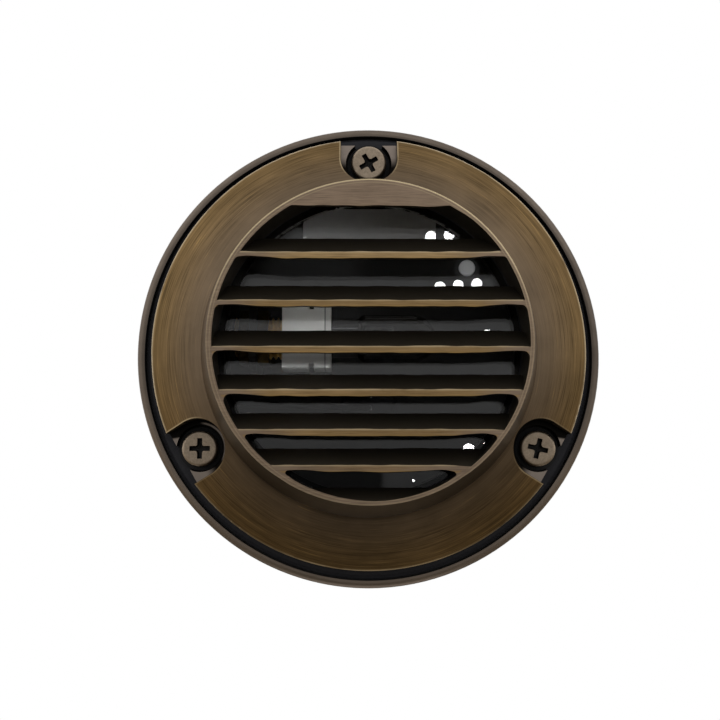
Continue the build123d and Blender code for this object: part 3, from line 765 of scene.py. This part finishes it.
def blankLabel():
    bm = bmesh.new()
    bmesh.ops.create_cube(bm, size=1.0)
    width = label["right"] - label["left"]
    height = label["high"] - label["low"]
    bmesh.ops.scale(bm, vec=(width * mm, label["thickness"] * mm, height * mm), verts=bm.verts)
    centre = Vector(((label["left"] + label["right"]) / 2, -label["wall"] - label["thickness"] / 2,
                     (label["low"] + label["high"]) / 2))
    bmesh.ops.translate(bm, vec=centre * mm, verts=bm.verts)
    corners = []
    for edge in bm.edges:  # the short edges through the thickness, at the top
        first, second = [vert.co for vert in edge.verts]
        through = abs(first.y - second.y) > label["thickness"] / 2 * mm and abs(first.x - second.x) < mm
        if through and min(first.z, second.z) > centre.z * mm:
            corners.append(edge)
    bmesh.ops.bevel(bm, geom=corners, offset=label["cut"] * mm, offset_type="OFFSET", segments=4,
                    profile=0.5, affect="EDGES", material=-1)
    return bm


def labelPaper():
    f = Finish("labelPaper")
    fibre = f.noise(f.spot, 2.5, 5.0, 0.65)
    cloud = f.noise(f.spot, 0.25, 3.0, 0.5)
    tone = f.mix(cloud, label["dark"], label["light"])
    return f.close(f.surface({
        "Base Color": tone, "Roughness": 0.55 + (fibre - 0.5) * 0.2, "Normal": f.bump(fibre, 0.03, 0.5)}))


finishPiece("back_label", blankLabel(), labelPaper(), "base")
print("label made")


# Stage: a pale floor well below the light

floor = {"z": -0.5, "y": 0.025, "reach": 0.225, "light": rgb(0.8, 0.8, 0.79), "dark": rgb(0.74, 0.74, 0.73)}


def paleFloor():
    f = Finish("paleFloor")
    tone = f.mix(f.noise(f.spot, 0.02, 2.0), floor["dark"], floor["light"])
    return f.close(f.surface({"Base Color": tone, "Roughness": 0.8}))


def floorPlane():
    bm = bmesh.new()
    bmesh.ops.create_grid(bm, x_segments=1, y_segments=1, size=floor["reach"])
    bmesh.ops.translate(bm, vec=(0, floor["y"], floor["z"]), verts=bm.verts)
    mesh = bpy.data.meshes.new("floor")
    bm.to_mesh(mesh)
    bm.free()
    mesh.materials.append(paleFloor())
    linkObject("floor", mesh)


floorPlane()


# Light: a soft room, white behind, darker below, with a dim patch straight ahead

room = {"below": 0.19, "warm": rgb(1.0, 0.9, 0.74), "horizon": 0.29, "above": 0.25, "sides": 0.32,
        "left": 0.08, "dim": 0.85}


def softRoom():
    world = bpy.data.worlds.new("softRoom")
    world.use_nodes = True
    n = Nodes(world.node_tree)
    look = n.node("ShaderNodeTexCoord", out="Generated")
    side = n.node("ShaderNodeSeparateXYZ", inputs={0: look}, out="X")
    up = side.other("Z")
    back = side.other("Y")
    glow = room["below"] + up.rise(-0.05, 0.12) * room["horizon"] + up.rise(0.25, 0.8) * room["above"]
    glow = glow + side.size().rise(0.3, 0.7) * up.rise(-0.6, 0.0) * room["sides"]
    glow = glow + side.rise(-0.25, -0.6) * up.rise(-0.7, -0.1) * room["left"]
    patch = side.rise(-0.18, -0.15) * side.rise(0.031, 0.023) * up.rise(0.03, 0.015) * back.rise(-0.3, -0.6)
    glow = glow * (1 - patch * room["dim"])
    path = n.node("ShaderNodeLightPath", out="Is Camera Ray")
    mirrored = path.other("Is Glossy Ray").most(path.other("Is Transmission Ray"))
    white = path.most(mirrored * back.rise(0.1, 0.5) * up.rise(-0.4, 0.0))
    tint = n.node("ShaderNodeMix", {"data_type": "RGBA"}, {
        0: up.rise(-0.35, 0.05).most(white), 6: room["warm"], 7: rgb(1, 1, 1)}, out=2)
    shade = n.node("ShaderNodeBackground", inputs={"Color": tint, "Strength": glow + (1 - glow) * white})
    n.node("ShaderNodeOutputWorld", inputs={"Surface": shade})
    bpy.context.scene.world = world


softRoom()


# Rows of small ceiling lamps that the lens mirrors, and narrow fills from below: one into the louvres, one on
# the vent plug

downlights = {
    # first lamp's x and z, count, diameter
    "rows": ((0.185, 0.568, 2, 0.026), (0.206, 0.4435, 3, 0.026), (0.230, 0.3185, 3, 0.026),
             (0.272, 0.053, 2, 0.026), (0.14, -0.022, 1, 0.007)),
    "stepX": 0.045, "stepZ": 0.004, "y": -2.447, "brightness": 74.0,  # watts to the square metre
}
ventPlace = sum(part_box("vent_plug"), Vector()) / 2
fills = (
    {"place": (-0.012, -0.26, -0.13), "aim": (-0.012, -0.0323, -0.005), "power": 0.38, "cone": 5.0,
     "blend": 0.6},
    {"place": (ventPlace.x, -0.26, -0.04), "aim": ventPlace, "power": 0.45, "cone": 1.2, "blend": 0.3},
)


def aimedLamp(name, kind, place, aim, power):
    data = bpy.data.lights.new(name, kind)
    data.energy = power
    lamp = linkObject(name, data)
    lamp.location = place
    lamp.rotation_euler = (Vector(aim) - Vector(place)).to_track_quat("-Z", "Y").to_euler()
    return data


def ceilingLamps():
    for firstX, firstZ, count, diameter in downlights["rows"]:
        for column in range(count):
            x = firstX + column * downlights["stepX"]
            z = firstZ + column * downlights["stepZ"]
            power = downlights["brightness"] * diameter ** 2
            data = aimedLamp("downlight", "AREA", (x, downlights["y"], z), (0, 0, 0), power)
            data.shape = "DISK"
            data.size = diameter


def louvreFills():
    for fill in fills:
        data = aimedLamp("louvreFill", "SPOT", fill["place"], fill["aim"], fill["power"])
        data.spot_size = math.radians(fill["cone"])
        data.spot_blend = fill["blend"]


ceilingLamps()
louvreFills()


# Camera: a little below the light's axis and to its left

view = {
    "tilt": 6.6, "yaw": 0.8, "distance": 215.4, "lens": 55.0, "sensor": 36.0, "aimDepth": 9.4,
    "frame": 720, "rimCentreX": 368.5, "rimCentreY": 354.5,  # pixels of the photograph's frame
}


def photoCamera():
    data = bpy.data.cameras.new("photoCamera")
    data.lens = view["lens"]
    data.sensor_width = view["sensor"]
    data.clip_start = 0.01
    camera = linkObject("photoCamera", data)
    yaw = Matrix.Rotation(math.radians(-view["yaw"]), 3, "Z")
    turn = yaw @ Matrix.Rotation(math.radians(view["tilt"]), 3, "X")
    centre = Vector((0, -view["aimDepth"], 0)) * mm
    place = centre + turn @ Vector((0, -view["distance"], 0)) * mm
    pixel = view["sensor"] / view["lens"] / view["frame"] * view["distance"] * mm  # one pixel at the rim
    aim = centre + turn @ Vector((1, 0, 0)) * (view["frame"] / 2 - view["rimCentreX"]) * pixel
    aim = aim + turn @ Vector((0, 0, 1)) * (view["rimCentreY"] - view["frame"] / 2) * pixel
    camera.location = place
    camera.rotation_euler = (aim - place).to_track_quat("-Z", "Y").to_euler()
    bpy.context.scene.camera = camera


photoCamera()
bpy.context.scene.view_settings.view_transform = "Standard"
print("stage, lights and camera set")
